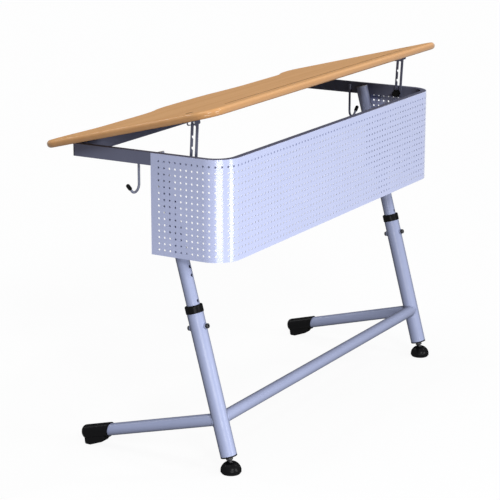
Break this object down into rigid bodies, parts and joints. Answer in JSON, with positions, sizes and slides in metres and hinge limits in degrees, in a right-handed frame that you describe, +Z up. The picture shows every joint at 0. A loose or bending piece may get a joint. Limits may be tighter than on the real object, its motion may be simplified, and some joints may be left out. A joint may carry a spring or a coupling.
{
  "type": "tilting school desk",
  "caption": "Height-adjustable desk with a tilting beech-look board, inclined telescopic legs, a bent perforated modesty panel, slotted stays and bag hooks.",
  "frame": {"origin": "on the floor, under the middle of the desk's length and depth", "axes": "+X along the desk towards the right hand of a seated user, +Y from the user towards the perforated panel, +Z up"},
  "size_m": [1.2, 0.491, 0.882],
  "materials": {
    "frame_paint": "fine satin powder coat, periwinkle",
    "rail_paint": "fine satin powder coat, slate",
    "board": "satin beech-look surface with a lacquered bullnose edge",
    "black_plastic": "fine grain, black",
    "grey_plastic": "fine grain, light grey",
    "black_rubber": "soft matte black",
    "zinc_steel": "zinc plated",
    "black_steel": "black oxide"
  },
  "bodies": {
    "base": {"outer_leg_left": "frame_paint", "outer_leg_right": "frame_paint", "leg_collar_left": "black_plastic", "leg_collar_right": "black_plastic", "leg_plug_left": "black_plastic", "leg_plug_right": "black_plastic", "glide_stem_left": "black_steel", "glide_stem_right": "black_steel", "foot_tube_left": "frame_paint", "foot_tube_right": "frame_paint", "foot_cap_left": "black_plastic", "foot_cap_right": "black_plastic", "cross_tube": "frame_paint", "lock_bosses": "frame_paint", "height_lock_screws": "black_steel"},
    "glide_left": {"glide_pad_left": "black_plastic"},
    "glide_right": {"glide_pad_right": "black_plastic"},
    "upper_frame": {"upper_frame_bow": "rail_paint", "rear_cross_rail": "rail_paint", "modesty_panel_front": "frame_paint", "rail_cap_left": "black_plastic", "rail_cap_right": "black_plastic", "inner_leg_left": "frame_paint", "inner_leg_right": "frame_paint", "leg_cap_left": "grey_plastic", "leg_cap_right": "grey_plastic", "guide_bush_left": "black_plastic", "guide_bush_right": "black_plastic", "modesty_panel_bend_left": "frame_paint", "modesty_panel_bend_right": "frame_paint", "modesty_panel_wing_left": "frame_paint", "modesty_panel_wing_right": "frame_paint", "bag_hook_left": "frame_paint", "bag_hook_right": "frame_paint", "hook_tip_left": "black_rubber", "hook_tip_right": "black_rubber", "hinge_fixed_leaf_left": "rail_paint", "hinge_fixed_leaf_right": "rail_paint", "hinge_pin_left": "zinc_steel", "hinge_pin_right": "zinc_steel", "stay_nut_left": "zinc_steel", "stay_nut_right": "zinc_steel"},
    "board": {"tabletop": "board", "board_screws": "zinc_steel", "hinge_moving_leaf_left": "zinc_steel", "hinge_moving_leaf_right": "zinc_steel", "stay_bracket_left": "rail_paint", "stay_bracket_right": "rail_paint"},
    "stay_left": {"stay_strip_left": "rail_paint", "stay_pin_left": "zinc_steel"},
    "stay_right": {"stay_strip_right": "rail_paint", "stay_pin_right": "zinc_steel"},
    "knob_left": {"stay_knob_left": "black_plastic", "knob_bolt_left": "zinc_steel"},
    "knob_right": {"stay_knob_right": "black_plastic", "knob_bolt_right": "zinc_steel"}
  },
  "joints": [
    {"name": "height", "type": "slide", "parent": "base", "child": "upper_frame", "axis": [0, -0.2588, 0.9659], "range_m": [-0.124, 0]},
    {"name": "tilt", "type": "hinge", "parent": "upper_frame", "child": "board", "pos_m": [0, -0.1936, 0.753], "axis": [1, 0, 0], "range_deg": [-14.5, 0]},
    {"name": "stay_slide_left", "type": "slide", "parent": "upper_frame", "child": "stay_left", "axis": [0, 0.0523, 0.9986], "range_m": [-0.0851, 0]},
    {"name": "knob_turn_left", "type": "hinge", "parent": "upper_frame", "child": "knob_left", "pos_m": [-0.5291, 0.12994, 0.74001], "axis": [1, 0, 0], "continuous": true},
    {"name": "glide_swivel_left", "type": "hinge", "parent": "base", "child": "glide_left", "pos_m": [-0.5185, 0.22046, 0.02002], "axis": [0, 0, 1], "continuous": true},
    {"name": "stay_slide_right", "type": "slide", "parent": "upper_frame", "child": "stay_right", "axis": [0, 0.0523, 0.9986], "range_m": [-0.0851, 0]},
    {"name": "knob_turn_right", "type": "hinge", "parent": "upper_frame", "child": "knob_right", "pos_m": [0.5291, 0.12994, 0.74001], "axis": [1, 0, 0], "continuous": true},
    {"name": "glide_swivel_right", "type": "hinge", "parent": "base", "child": "glide_right", "pos_m": [0.5185, 0.22046, 0.02002], "axis": [0, 0, 1], "continuous": true}
  ],
  "couplings": [
    {"joint": "stay_slide_left", "follows": "tilt", "m_per_rad": 0.3359},
    {"joint": "stay_slide_right", "follows": "tilt", "m_per_rad": 0.3359}
  ]
}
